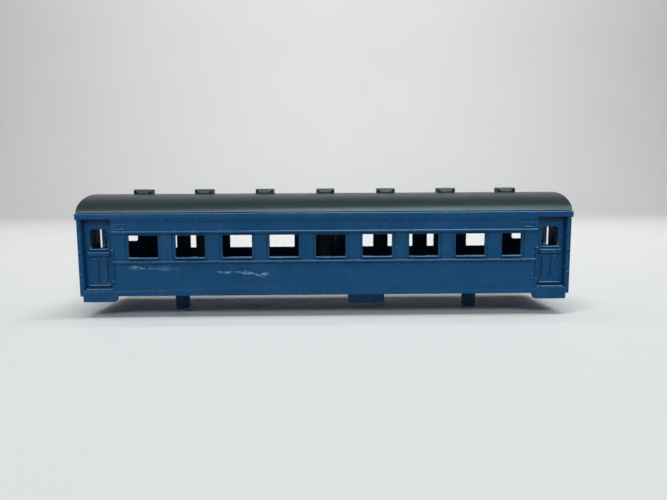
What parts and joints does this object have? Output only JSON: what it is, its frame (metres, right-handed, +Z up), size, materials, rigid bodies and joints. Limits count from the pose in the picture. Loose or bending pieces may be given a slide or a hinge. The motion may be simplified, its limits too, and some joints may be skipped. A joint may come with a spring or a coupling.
{
  "type": "toy railway passenger coach body",
  "caption": "Toy railway passenger coach body: open-window side shell, barrel roof with ventilators, and a floor with bogie pivots.",
  "frame": {"origin": "middle of the coach at the level of the bogie pivot feet, which is the bottom of its bounding box", "axes": "+X along the coach towards the narrow window of the near side, +Y across it away from the near side, +Z up"},
  "size_m": [0.1636, 0.0344, 0.0427],
  "materials": {
    "body_blue": "satin gloss moulded blue styrene",
    "roof_grey": "satin moulded dark grey styrene",
    "screw_steel": "plated steel"
  },
  "bodies": {
    "root": {"body_shell": "body_blue", "floor_pan": "body_blue", "roof": "roof_grey", "ventilator_1": "roof_grey", "ventilator_2": "roof_grey", "ventilator_3": "roof_grey", "ventilator_4": "roof_grey", "ventilator_5": "roof_grey", "ventilator_6": "roof_grey", "ventilator_7": "roof_grey", "screw_1": "screw_steel", "screw_2": "screw_steel", "screw_3": "screw_steel"}
  },
  "joints": []
}
